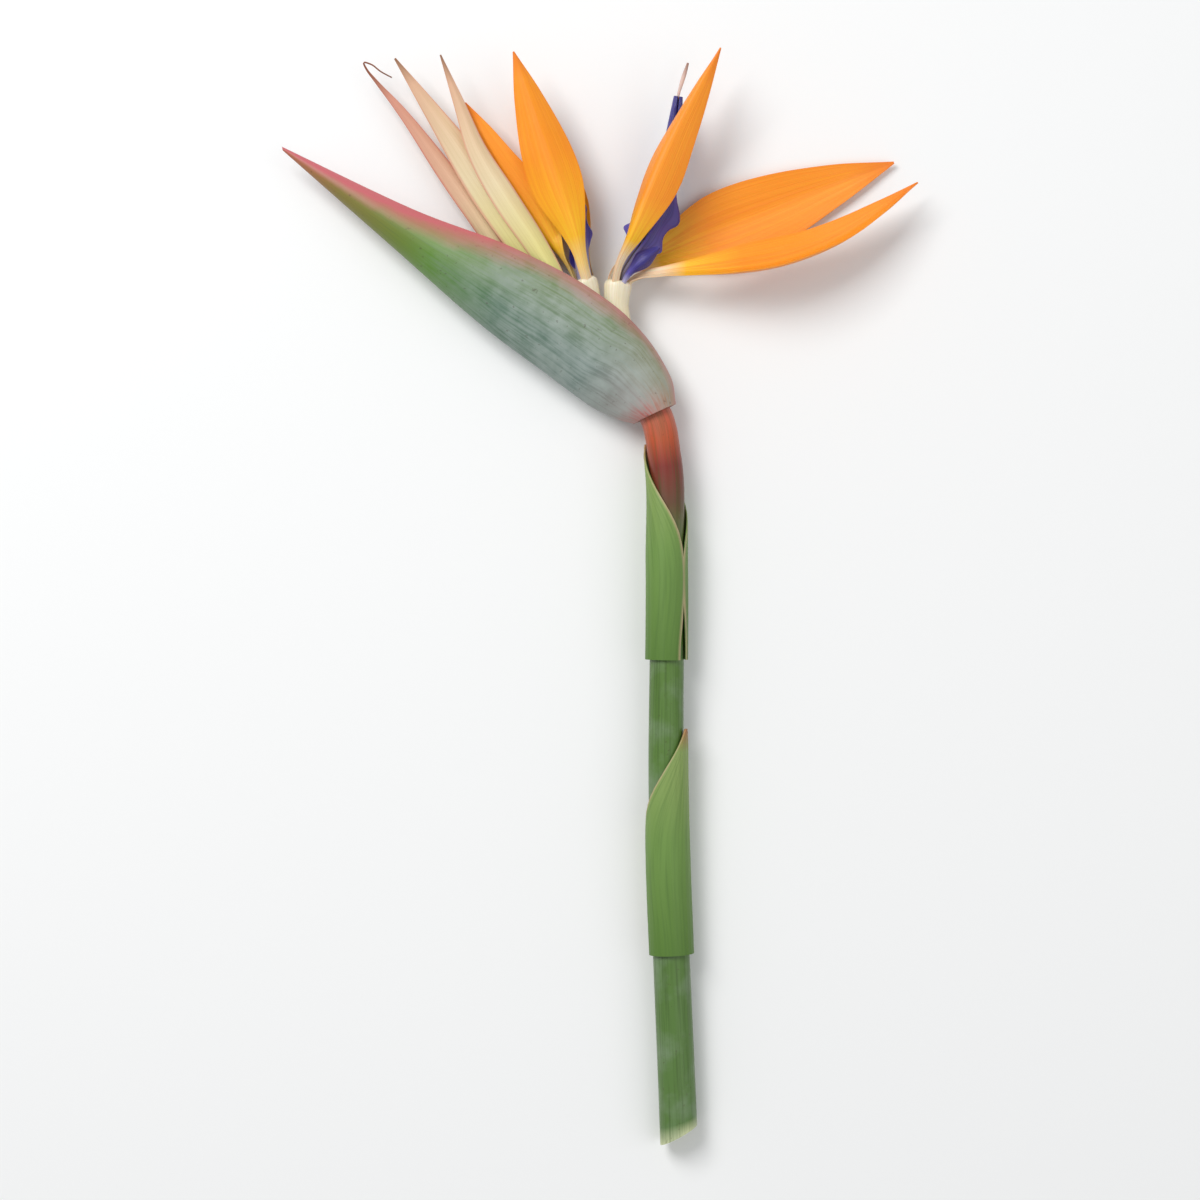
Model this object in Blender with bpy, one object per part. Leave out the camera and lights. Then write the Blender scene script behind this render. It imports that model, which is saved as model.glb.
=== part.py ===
"""One cut bird of paradise flower, lying on its side on a flat surface.

The beak-like spathe points to -X, the cut stem runs to -Y, and +Z is up. Points in this file are in the
flower's own millimetres, whose origin is the heel of the spathe's mouth, where the open floret stands. The
empty "flower" carries every piece to the part's origin, under the middle of the flower, on the surface.
"""

import math

import bmesh
import bpy
import numpy as np

MM = 0.001

# Driving dimensions, in millimetres
SPATHE_HALF_WIDTH = 12.0  # at the belly, which rests on the surface
SPATHE_WALL = 1.7
STEM_LENGTH = 262.0  # from the spathe's base to the cut
STEM_RADIUS = 6.0  # just below the neck
CUT_RADIUS = 6.8
SEPAL_THICK = 1.3
BRACT_THICK = 0.9
SHEATH_WALL = 0.8
CLEARANCE = 0.4  # between pieces that grow against each other
ROOT_LIFT = 1.0  # of the sepals and petals over the top of the ovary
SHEATH_LIFT = 0.9  # of a sheath over the stem
RING_RADIUS = 3.9  # of the circle that a floret's sepals stand on
CHANNEL_RADIUS = 1.9  # of the channel in the arrow that holds the style and stamens
ARROW_WALL = 0.6
STYLE_RADIUS = 0.5
STAMEN_RADIUS = 0.32
STAMEN_CIRCLE = 1.05

FLOOR = -SPATHE_HALF_WIDTH
SPATHE_BASE_Y = -36.0
CUT_Y = SPATHE_BASE_Y - STEM_LENGTH

# The spathe from its base on the neck to the tip of its beak. Each row holds a station, the keel's x and y,
# the meeting margins' x and y, and the half width.
SPATHE_ROWS = [
    (0.00, 3.6, -39.6, 18.9, -32.4, 8.5),
    (0.12, -4.0, -37.4, 16.2, -21.0, 10.2),
    (0.20, -12.5, -33.0, 8.4, -8.6, 11.4),
    (0.26, -19.5, -28.0, 0.0, 0.0, 11.9),
    (0.33, -28.0, -21.6, -11.0, 8.2, 12.0),
    (0.50, -49.0, -6.0, -37.1, 22.4, 10.8),
    (0.76, -84.5, 25.0, -77.0, 38.2, 6.0),
    (1.00, -123.6, 59.4, -123.9, 60.8, 0.7),
]
MOUTH_STATIONS = [0.0, 0.2, 0.225, 0.26, 0.31, 0.5, 0.76, 0.9, 1.0]
MOUTH_HALF_GAPS = [0.3, 0.5, 1.8, 4.8, 5.6, 5.2, 2.6, 1.0, 0.2]

# The stem's centre line and radius, from its end inside the spathe, round the neck and down to the cut
STEM_ROWS = [
    (-36.0, -0.5, 0.0, 1.8),
    (-25.0, -7.4, 0.0, 3.2),
    (-8.0, -18.6, 0.0, 4.6),
    (3.6, -26.8, 0.0, 5.6),
    (11.2, SPATHE_BASE_Y, 0.0, 5.9),
    (14.8, -52.0, 0.2, STEM_RADIUS),
    (15.6, -90.0, -0.4, STEM_RADIUS),
    (15.4, -170.0, -2.4, 6.4),
    (20.0, CUT_Y, FLOOR + CUT_RADIUS, CUT_RADIUS),
]

# Each floret: the line of its pedicel and ovary, with the half widths along and across the mouth, the line
# that its arrow and style follow from the top of the ovary, the way the arrow's groove faces, how long and
# wide the arrow is, and the spine, final facing, half width and fold of each sepal and of the nectary petal.
FLORETS = {
    "floret_1": {
        "ovary": [
            (2.9, -17.3, 0.0, 2.0, 2.0),
            (1.2, -13.0, 0.0, 2.6, 2.6),
            (-1.2, -4.0, 0.0, 3.8, 3.6),
            (-2.7, 3.5, 0.0, 4.3, 3.9),
            (-2.5, 9.2, 0.0, 4.9, 4.6),
        ],
        "axis": (0.12, 0.993, 0.0),
        "arrow": [(-2.4, 10.3, 0.0), (-1.6, 14.5, -0.5), (2.0, 21.0, -1.2), (7.2, 28.5, -1.8), (12.0, 37.0, -2.0),
                  (15.0, 50.0, -1.8), (17.6, 64.0, -1.0), (19.6, 79.0, 0.0)],
        "style_tip": (23.2, 91.0, 1.0),
        "groove": (0.3, -0.1, 0.95),
        "wing": 8.2,
        "sepals": {
            "upright": (115, [(-2.8, 16.5, 6.8), (2.5, 28.0, 12.6), (7.7, 41.0, 14.0), (14.5, 57.3, 14.0),
                              (24.2, 76.0, 13.8), (34.6, 94.6, 12.5)], (0.4, -0.2, -0.9), 10.0, 45),
            "rear": (245, [(-3.4, 13.4, -4.2), (-1.6, 16.5, -5.6), (5.0, 19.8, -7.6), (13.6, 22.6, -9.2), (30.0, 29.5, -10.8),
                           (51.0, 37.5, -11.25), (74.0, 47.0, -11.1), (98.7, 56.3, -9.5)],
                     (-0.1, 0.0, 1.0), 14.0, 14),
            "lower": (-5, [(2.6, 11.4, 0.2), (7.0, 13.4, 1.2), (14.5, 14.4, 2.8), (26.9, 14.9, 4.4),
                           (38.4, 15.4, 5.0), (56.8, 18.2, 4.6), (75.8, 25.4, 3.4), (94.8, 38.2, 1.8),
                           (106.4, 47.7, 1.0)], (-0.3, 0.75, 0.6), 11.0, 28),
        },
        "nectary": (55, [(1.6, 13.6, 4.6), (7.0, 18.5, 6.2), (12.8, 23.6, 5.6)], (-0.3, 0.2, -0.9), 4.2, 35),
    },
    "floret_2": {
        "ovary": [
            (-7.0, -11.8, 0.0, 1.8, 1.8),
            (-8.2, -8.0, 0.0, 2.4, 2.6),
            (-9.9, -1.0, 0.0, 3.2, 3.6),
            (-11.7, 5.0, 0.0, 3.4, 3.9),
            (-13.4, 10.2, 0.0, 4.1, 4.6),
        ],
        "axis": (-0.32, 0.947, 0.0),
        "arrow": [(-13.7, 11.3, 0.0), (-14.6, 16.0, -0.4), (-16.0, 27.0, -1.2), (-18.4, 37.0, -1.4),
                  (-23.5, 50.0, -1.0), (-27.4, 62.0, -0.4), (-30.5, 72.0, 0.0)],
        "style_tip": (-33.0, 81.0, 0.2),
        "groove": (-0.17, 0.0, -0.98),
        "wing": 5.0,
        "sepals": {
            "upright": (80, [(-14.6, 17.0, 5.4), (-18.0, 29.0, 7.4), (-22.5, 42.0, 8.8), (-28.0, 58.0, 9.6),
                             (-34.0, 76.0, 9.6), (-39.8, 93.8, 9.0)], (0.0, 0.0, -1.0), 10.2, 24),
            "left": (200, [(-19.5, 15.5, -2.2), (-30.5, 31.5, -2.2), (-43.3, 51.0, -1.0), (-57.5, 76.8, 0.0)],
                     (0.5, 0.35, -0.8), 9.0, 28),
            "rear": (320, [(-12.6, 17.0, -5.0), (-16.5, 29.0, -7.8), (-22.0, 43.0, -9.4), (-28.0, 59.0, -9.6),
                           (-36.0, 81.0, -8.6)], (0.1, 0.0, 1.0), 8.4, 16),
        },
        "nectary": (260, [(-14.6, 14.4, -4.6), (-17.0, 20.0, -5.4), (-19.0, 25.6, -5.0)], (0.1, 0.1, 1.0), 3.4, 30),
    },
}

# Each bract that shows in the mouth: its spine, facing, half width and fold
BRACTS = {
    "bract_outer": ([(-31.4, 1.3, -0.8), (-36.0, 9.5, -1.2), (-43.5, 20.0, -1.5), (-55.0, 38.0, -1.6),
                     (-66.5, 54.5, -1.8), (-82.0, 75.5, -1.8), (-90.5, 85.5, -2.0)], (0.0, 0.0, -1.0), 3.8, 20),
    "bract_middle": ([(-20.8, -3.9, 0.0), (-26.5, 7.5, 0.6), (-34.0, 20.5, 1.0), (-46.0, 39.0, 1.2),
                      (-60.0, 60.0, 1.4), (-71.5, 76.5, 1.4), (-82.9, 92.6, 1.2)], (0.0, 0.0, -1.0), 6.4, 18),
    "bract_inner": ([(-15.2, -7.6, 1.4), (-19.0, 1.0, 2.6), (-24.5, 13.0, 3.6), (-32.0, 25.5, 4.6),
                     (-43.0, 42.0, 5.4), (-53.0, 59.0, 5.4), (-59.5, 76.0, 4.6), (-66.3, 93.5, 3.6)],
                    (-0.1, 0.0, -1.0), 5.2, 25),
}

# Each unopened floret in the spathe: its centre line and radius
BUDS = {
    "bud_upper": [(-36.5, 0.05, 0.0, 1.2), (-46.0, 9.0, 0.0, 2.8), (-60.0, 19.8, 0.0, 3.5),
                  (-78.0, 32.0, 0.0, 2.5), (-98.0, 44.8, 0.0, 0.5)],
    "bud_lower": [(-33.4, -6.8, 0.0, 1.0), (-42.0, -4.0, 0.0, 2.2), (-56.0, 6.2, 0.0, 2.7),
                  (-72.0, 19.4, 0.0, 2.1), (-86.0, 30.8, 0.0, 0.5)],
}


def unit(vectors):
    return vectors / np.linalg.norm(vectors, axis=-1, keepdims=True)


def read_off(stations, values, t):
    """The values at t on a smooth curve through the values at the stations: a cubic between each two, with
    the slope that the neighbours give."""
    stations = np.array(stations, float)
    values = np.array(values, float)
    flat = values.reshape(len(stations), -1)
    slope = np.gradient(flat, stations, axis=0)
    k = np.clip(np.searchsorted(stations, t, side="right") - 1, 0, len(stations) - 2)
    step = (stations[k + 1] - stations[k])[:, None]
    u = (t - stations[k])[:, None] / step
    curve = (
        (2 * u**3 - 3 * u**2 + 1) * flat[k]
        + (u**3 - 2 * u**2 + u) * step * slope[k]
        + (3 * u**2 - 2 * u**3) * flat[k + 1]
        + (u**3 - u**2) * step * slope[k + 1]
    )
    return curve.reshape((len(t), *values.shape[1:]))


def even_curve(rows, count):
    """count rows, spaced evenly by the distance of their first three numbers, on a smooth curve through the
    given rows. Any further numbers, such as a radius, are carried along."""
    rows = np.array(rows, float)
    stations = np.concatenate([[0], np.cumsum(np.linalg.norm(np.diff(rows[:, :3], axis=0), axis=1))])
    curve = read_off(stations, rows, np.linspace(0, stations[-1], 20 * count))
    run = np.concatenate([[0], np.cumsum(np.linalg.norm(np.diff(curve[:, :3], axis=0), axis=1))])
    even = np.linspace(0, run[-1], count)
    return np.stack([np.interp(even, run, column) for column in curve.T], axis=1)


def frames(line, facing):
    """The way a piece faces, its side and its tangent at every point of a line."""
    tangent = unit(np.gradient(line, axis=0))
    facing = np.broadcast_to(np.array(facing, float), line.shape)
    face = unit(facing - (facing * tangent).sum(1, keepdims=True) * tangent)
    return face, np.cross(tangent, face), tangent


def material(name, colour, roughness):
    """A plain plant surface of one colour, given as red, green and blue from 0 to 1."""
    made = bpy.data.materials.get(name) or bpy.data.materials.new(name)
    made.use_nodes = True
    shader = made.node_tree.nodes["Principled BSDF"]
    shader.inputs["Base Color"].default_value = (*colour, 1)
    shader.inputs["Roughness"].default_value = roughness
    shader.inputs["Metallic"].default_value = 0.0
    return made


def add_piece(name, bm, surface):
    """The closed mesh as an object of the flower, smooth where it is round."""
    bmesh.ops.recalc_face_normals(bm, faces=bm.faces)
    mesh = bpy.data.meshes.new(name)
    bm.to_mesh(mesh)
    bm.free()
    mesh.materials.append(surface)
    mesh.shade_smooth()
    mesh.set_sharp_from_angle(angle=math.radians(50))
    piece = bpy.data.objects.new(name, mesh)
    bpy.context.scene.collection.objects.link(piece)
    piece.parent = bpy.data.objects["flower"]


def thick_sheet(name, outer, inner, surface):
    """A solid between two grids of points of the same shape: both faces and the four edges that join them."""
    rows, columns = outer.shape[:2]
    bm = bmesh.new()
    top, bottom = (
        [[bm.verts.new(point * MM) for point in row] for row in grid] for grid in (outer, inner)
    )
    for grid in (top, bottom):
        for i in range(rows - 1):
            for j in range(columns - 1):
                bm.faces.new([grid[i][j], grid[i][j + 1], grid[i + 1][j + 1], grid[i + 1][j]])
    for j in (0, columns - 1):
        for i in range(rows - 1):
            bm.faces.new([top[i][j], top[i + 1][j], bottom[i + 1][j], bottom[i][j]])
    for i in (0, rows - 1):
        for j in range(columns - 1):
            bm.faces.new([top[i][j], top[i][j + 1], bottom[i][j + 1], bottom[i][j]])
    add_piece(name, bm, surface)


def swept(name, rings, surface):
    """A solid through closed rings of points, capped at both ends."""
    bm = bmesh.new()
    loops = [[bm.verts.new(point * MM) for point in ring] for ring in rings]
    sides = len(loops[0])
    for one, two in zip(loops, loops[1:]):
        for j in range(sides):
            bm.faces.new([one[j], one[(j + 1) % sides], two[(j + 1) % sides], two[j]])
    bm.faces.new(loops[0])
    bm.faces.new(loops[-1])
    add_piece(name, bm, surface)


def round_rings(line, across, along, sides, facing=(0, 0, 1), lobes=0, lobe_depth=0.0):
    """Rings round a line: across is the radius to the side and along the radius the way it faces. lobes
    swells each ring that many times."""
    face, side, _ = frames(line, facing)
    turn = np.linspace(0, 2 * math.pi, sides, endpoint=False)
    swell = 1 + lobe_depth * np.cos(lobes * turn)
    reach_side = (across[:, None] * np.cos(turn) * swell)[..., None]
    reach_face = (along[:, None] * np.sin(turn) * swell)[..., None]
    return line[:, None] + reach_side * side[:, None] + reach_face * face[:, None]


def blade(name, spine, facing, half_width, fold, surface, thick=SEPAL_THICK, first_facing=None,
          outline=((0, 0.2), (0.12, 0.26), (0.42, 1.0), (0.8, 0.56), (1, 0.03)), rows=17, columns=7):
    """A sepal, petal or bract: a keeled blade on its spine. The outline holds shares of the half width along
    it. It faces the hollow side of its fold, and turns there from its first facing."""
    t = np.linspace(0, 1, rows)
    line = even_curve(spine, rows)
    turned = np.clip(t / 0.25, 0, 1)[:, None] ** 2
    first = np.array(facing if first_facing is None else first_facing, float)
    face, side, _ = frames(line, first * (1 - turned) + np.array(facing, float) * turned)
    stations, shares = zip(*outline)
    half = half_width * read_off(stations, shares, t)
    a = np.linspace(-1, 1, columns)
    keel_round = 0.2
    rise = (np.sqrt(a**2 + keel_round**2) - keel_round) / (math.sqrt(1 + keel_round**2) - keel_round)
    lateral = math.cos(math.radians(fold)) * a
    height = math.sin(math.radians(fold)) * rise
    slope = np.stack([-np.gradient(height), np.gradient(lateral)])
    normal = slope / np.linalg.norm(slope, axis=0)
    skin = 0.5 * thick * (1 - 0.6 * a**2)[None] * np.clip(half / 4, 0.45, 1)[:, None]

    def surface_at(sign):
        out_side = half[:, None] * lateral + sign * skin * normal[0]
        out_face = half[:, None] * height + sign * skin * normal[1]
        return line[:, None] + out_side[..., None] * side[:, None] + out_face[..., None] * face[:, None]

    thick_sheet(name, surface_at(-1), surface_at(1), surface)


def spathe(surface):
    """The boat-shaped bract. Its sections are drop shapes from the keel to the two margins, which part at
    the mouth."""
    columns = 15
    pinch = 1.25
    t = np.concatenate([np.linspace(0, 0.18, 5), np.linspace(0.2, 0.32, 8), np.linspace(0.36, 1, 14)])
    table = np.array(SPATHE_ROWS)
    keel = read_off(table[:, 0], table[:, 1:3], t)
    margin = read_off(table[:, 0], table[:, 3:5], t)
    half = read_off(table[:, 0], table[:, 5], t)
    gap = np.interp(t, MOUTH_STATIONS, MOUTH_HALF_GAPS)
    depth = np.linalg.norm(margin - keel, axis=1)
    up = (margin - keel) / depth[:, None]
    wall = np.minimum(SPATHE_WALL, 0.4 * np.minimum(half, depth / 2))

    def surface_at(inset):
        width = half - inset
        opening = np.arcsin(np.minimum(gap / width, 0.96) ** (1 / pinch))
        turn = np.linspace(-1, 1, columns)[None] * (math.pi - opening)[:, None]
        lateral = width[:, None] * np.sign(turn) * np.abs(np.sin(turn)) ** pinch
        share = (1 - np.cos(turn)) / (1 + np.cos(opening))[:, None]
        height = inset[:, None] + (depth - 2 * inset)[:, None] * share
        flat = keel[:, None] + height[..., None] * up[:, None]
        return np.concatenate([flat, lateral[..., None]], axis=2)

    thick_sheet("spathe", surface_at(np.zeros(len(t))), surface_at(wall), surface)


def stem(surface):
    """The stem, from its end inside the spathe, where the florets grow, to its slanting cut."""
    sides = 16
    slant = 0.5
    curve = even_curve(STEM_ROWS, 34)
    rings = round_rings(curve[:, :3], curve[:, 3], curve[:, 3], sides)
    lean = slant * CUT_RADIUS * np.cos(np.linspace(0, 2 * math.pi, sides, endpoint=False))
    rings[-1] += lean[:, None] * unit(curve[-1, :3] - curve[-2, :3])
    swept("stem", rings, surface)


def stem_sheath(name, base_y, tip_y, middle, surface):
    """A leaf base that grows round the stem and ends in a point. Its middle lies at an angle about the stem,
    in degrees from +X towards +Z."""
    t = np.linspace(0, 1, 12)
    curve = even_curve(STEM_ROWS, 200)[::-1]
    y = base_y + (tip_y - base_y) * t
    centre = np.stack([np.interp(y, curve[:, 1], curve[:, i]) for i in range(3)], axis=1)
    radius = np.interp(y, curve[:, 1], curve[:, 3])
    face, side, _ = frames(centre, (0, 0, 1))
    half_wrap = math.radians(166) * read_off([0, 0.58, 0.8, 1], [1.0, 0.97, 0.5, 0.03], t)
    turn = math.radians(middle) + np.linspace(-1, 1, 17)[None] * half_wrap[:, None]

    def surface_at(lift):
        reach = (radius + lift)[:, None, None]
        round_stem = np.cos(turn)[..., None] * side[:, None] + np.sin(turn)[..., None] * face[:, None]
        return centre[:, None] + reach * round_stem

    thick_sheet(name, surface_at(SHEATH_LIFT + SHEATH_WALL), surface_at(SHEATH_LIFT), surface)


def arrow_half(name, line, groove, wing, way, surface):
    """One of the two petals that close round the style as an arrow. Its section is half of a tube whose outer
    side runs out into a wing. way is 1 for the petal on the line's side, and -1 for its mirror."""
    rows = 16
    t = np.linspace(0, 1, rows)
    line = even_curve(line, rows)
    face, side, tangent = frames(line, groove)
    channel = CHANNEL_RADIUS * read_off([0, 0.85, 1], [1.0, 1.0, 0.5], t)
    outer = channel + ARROW_WALL
    reach = outer + (wing - CHANNEL_RADIUS - ARROW_WALL) * read_off(
        [0, 0.24, 0.34, 0.42, 0.62, 0.85, 1], [0.0, 0.0, 0.95, 1.0, 0.42, 0.1, 0.0], t
    )
    seam = 0.5 * CLEARANCE
    down = np.linspace(-80, 10, 5)
    inner = np.linspace(84, -84, 6)
    lateral = [outer * math.cos(math.radians(angle)) for angle in down]
    height = [outer * math.sin(math.radians(angle)) for angle in down]
    lateral += [0.55 * outer + 0.45 * reach, reach, 0.5 * outer + 0.5 * reach, 0.45 * outer]
    height += [0.24 * outer, 0.3 * outer, 0.62 * outer, 0.98 * outer]
    lateral += [channel * math.cos(math.radians(angle)) for angle in inner]
    height += [channel * math.sin(math.radians(angle)) for angle in inner]
    lateral = np.maximum(np.stack(lateral, axis=1), seam)
    height = np.stack(height, axis=1)
    back = 0.5 * np.maximum(lateral - outer[:, None], 0) * np.sin(math.pi * t)[:, None]
    rings = (
        line[:, None]
        + way * lateral[..., None] * side[:, None]
        + height[..., None] * face[:, None]
        - back[..., None] * tangent[:, None]
    )
    swept(name, rings, surface)


def floret(name, shape, surfaces):
    """One floret: its ovary on the stem's end, three sepals, the two petals of the arrow, the nectary petal,
    the style and the five stamens."""
    ovary = even_curve(shape["ovary"], 10)
    swept(
        name + "_ovary",
        round_rings(ovary[:, :3], ovary[:, 3], ovary[:, 4], 12, lobes=3, lobe_depth=0.04),
        surfaces["ovary"],
    )
    top = ovary[-1, :3]
    axis = unit(np.array(shape["axis"]))
    front = np.array((0.0, 0.0, 1.0))
    right = np.cross(axis, front)

    def outward(angle):
        return math.cos(math.radians(angle)) * right + math.sin(math.radians(angle)) * front

    for place, (angle, spine, facing, half_width, fold) in shape["sepals"].items():
        foot = top + ROOT_LIFT * axis + RING_RADIUS * outward(angle)
        blade(
            f"{name}_sepal_{place}", [foot, *spine], facing, half_width, fold, surfaces["sepal"],
            first_facing=-outward(angle),
        )
    angle, spine, facing, half_width, fold = shape["nectary"]
    foot = top + ROOT_LIFT * axis + RING_RADIUS * outward(angle)
    blade(
        name + "_nectary_petal", [foot, *spine], facing, half_width, fold, surfaces["petal"], thick=0.8,
        first_facing=-outward(angle), outline=((0, 0.28), (0.3, 0.4), (0.62, 1.0), (1, 0.25)), rows=9,
    )
    for half, way in (("left", -1), ("right", 1)):
        arrow_half(
            f"{name}_arrow_{half}", shape["arrow"], shape["groove"], shape["wing"], way, surfaces["petal"]
        )
    style = even_curve([*shape["arrow"], shape["style_tip"]], 22)
    radius = STYLE_RADIUS * read_off([0, 0.86, 0.95, 1], [1.0, 1.0, 1.5, 0.8], np.linspace(0, 1, 22))
    swept(name + "_style", round_rings(style, radius, radius, 8), surfaces["style"])
    inside = even_curve(shape["arrow"], 24)[:20]
    face, side, _ = frames(inside, shape["groove"])
    for number in range(5):
        turn = 2 * math.pi * (number + 0.5) / 5
        line = inside + STAMEN_CIRCLE * (math.cos(turn) * side + math.sin(turn) * face)
        radius = STAMEN_RADIUS * read_off([0, 0.45, 0.55, 1], [0.7, 0.7, 1.0, 0.8], np.linspace(0, 1, 20))
        swept(f"{name}_stamen_{number + 1}", round_rings(line, radius, radius, 6), surfaces["stamen"])


def clear_scene():
    for old in list(bpy.data.objects):
        bpy.data.objects.remove(old)


def main():
    clear_scene()
    flower = bpy.data.objects.new("flower", None)
    bpy.context.scene.collection.objects.link(flower)
    surfaces = {
        "stem": material("green stem", (0.12, 0.24, 0.06), 0.45),
        "sheath": material("green sheath", (0.17, 0.3, 0.09), 0.5),
        "spathe": material("waxy spathe", (0.16, 0.26, 0.17), 0.5),
        "ovary": material("cream ovary", (0.75, 0.66, 0.45), 0.5),
        "sepal": material("orange sepal", (0.93, 0.28, 0.01), 0.45),
        "petal": material("blue petal", (0.06, 0.045, 0.28), 0.4),
        "style": material("pale style", (0.72, 0.52, 0.45), 0.5),
        "stamen": material("cream stamen", (0.7, 0.62, 0.42), 0.7),
        "bract": material("cream bract", (0.76, 0.55, 0.28), 0.6),
        "bud": material("green bud", (0.45, 0.5, 0.2), 0.5),
    }
    stem(surfaces["stem"])
    stem_sheath("upper_sheath", -125.0, -46.0, 215, surfaces["sheath"])
    stem_sheath("lower_sheath", -232.0, -150.0, 20, surfaces["sheath"])
    spathe(surfaces["spathe"])
    for name, shape in FLORETS.items():
        floret(name, shape, surfaces)
    for name, (spine, facing, half_width, fold) in BRACTS.items():
        blade(
            name, spine, facing, half_width, fold, surfaces["bract"], thick=BRACT_THICK,
            outline=((0, 0.3), (0.3, 0.85), (0.5, 1.0), (0.8, 0.5), (1, 0.06)), rows=15, columns=5,
        )
    for name, rows in BUDS.items():
        curve = even_curve(rows, 14)
        swept(name, round_rings(curve[:, :3], curve[:, 3], curve[:, 3], 10), surfaces["bud"])
    bpy.context.view_layer.update()
    corners = np.concatenate([
        np.array([vertex.co for vertex in piece.data.vertices]) for piece in flower.children
    ])
    low, high = corners.min(axis=0), corners.max(axis=0)
    flower.location = (-(low[0] + high[0]) / 2, -(low[1] + high[1]) / 2, -low[2])


main()
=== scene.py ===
"""The looks of a cut bird of paradise flower that lies on its side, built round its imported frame.

It is laid out as an add-on: sizes and colours are properties, each group of like pieces has an operator, and
main() calls them in order. Points are in millimetres from the heel of the spathe's mouth, and HEEL carries
them into the frame.
"""

import math

import bpy
import numpy as np
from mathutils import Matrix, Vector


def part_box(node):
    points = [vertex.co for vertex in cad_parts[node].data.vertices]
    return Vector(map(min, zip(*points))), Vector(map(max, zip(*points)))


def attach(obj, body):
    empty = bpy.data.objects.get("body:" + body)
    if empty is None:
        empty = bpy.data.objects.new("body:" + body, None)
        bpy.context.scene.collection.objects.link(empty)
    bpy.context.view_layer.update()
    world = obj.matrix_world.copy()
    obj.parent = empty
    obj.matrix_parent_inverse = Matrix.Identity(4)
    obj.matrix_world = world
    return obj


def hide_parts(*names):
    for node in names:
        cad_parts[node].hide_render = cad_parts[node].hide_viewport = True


bl_info = {
    "name": "Bird of paradise flower",
    "version": (1, 0, 0),
    "blender": (4, 5, 0),
    "location": "3D View > Sidebar > Flower",
    "description": "Petals, spathe and stem of one bird of paradise flower round its packed frame",
    "category": "Add Mesh",
}

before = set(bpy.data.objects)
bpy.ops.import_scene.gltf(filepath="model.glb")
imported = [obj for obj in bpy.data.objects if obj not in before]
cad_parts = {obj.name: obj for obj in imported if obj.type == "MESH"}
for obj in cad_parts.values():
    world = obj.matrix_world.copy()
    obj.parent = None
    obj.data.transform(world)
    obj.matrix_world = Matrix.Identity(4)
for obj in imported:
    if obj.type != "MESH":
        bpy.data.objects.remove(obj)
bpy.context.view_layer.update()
MM = 0.001
CUT_RADIUS = 6.8
CUT_RINGS = 14  # rings that lead to the slanting cut
HALF_SEAM = 0.2  # half the gap between the two petals of an arrow
NECTARY_THICK = 0.8
UP = np.array((0.0, 0.0, 1.0))
BEAK_TIP = (-123.9, 60.8)  # x and y of the beak's tip from the heel
SPATHE_LOW, SPATHE_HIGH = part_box("spathe")
HEEL = np.array([
    SPATHE_LOW[0] / MM - BEAK_TIP[0],
    SPATHE_HIGH[1] / MM - BEAK_TIP[1],
    (SPATHE_LOW[2] + SPATHE_HIGH[2]) / 2 / MM,
])

# The spathe: station, keel x and y, margin x and y, half width
SPATHE_ROWS = [
    (0.00, 3.6, -39.6, 18.9, -32.4, 8.5),
    (0.12, -4.0, -37.4, 16.2, -21.0, 10.2),
    (0.20, -12.5, -33.0, 8.4, -8.6, 11.4),
    (0.26, -19.5, -28.0, 0.0, 0.0, 11.9),
    (0.33, -28.0, -21.6, -11.0, 8.2, 12.0),
    (0.50, -49.0, -6.0, -37.1, 22.4, 10.8),
    (0.76, -84.5, 25.0, -77.0, 38.2, 6.0),
    (1.00, -123.6, 59.4, -123.9, 60.8, 0.7),
]
MOUTH_STATIONS = [0.0, 0.2, 0.225, 0.26, 0.31, 0.5, 0.76, 0.9, 1.0]
MOUTH_HALF_GAPS = [0.3, 0.5, 1.8, 4.8, 5.6, 5.2, 2.6, 1.0, 0.2]
SPATHE_PINCH = 1.25  # power of the sine that gives the sections their drop shape

# The stem's centre line and radius, from inside the spathe to the cut
STEM_ROWS = [
    (-36.0, -0.5, 0.0, 1.8),
    (-25.0, -7.4, 0.0, 3.2),
    (-8.0, -18.6, 0.0, 4.6),
    (3.6, -26.8, 0.0, 5.6),
    (11.2, -36.0, 0.0, 5.9),
    (14.8, -52.0, 0.2, 6.0),
    (15.6, -90.0, -0.4, 6.0),
    (15.4, -170.0, -2.4, 6.4),
    (20.0, -298.0, -5.2, 6.8),
]
# The sheaths' base and tip in y, and the angle of their middle; then their wrap and its shares along them
SHEATHS = {"upper_sheath": (-125.0, -46.0, 215), "lower_sheath": (-232.0, -150.0, 20)}
SHEATH_HALF_WRAP = 166
SHEATH_OUTLINE = ([0, 0.58, 0.8, 1], [1.0, 0.97, 0.5, 0.03])

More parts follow.
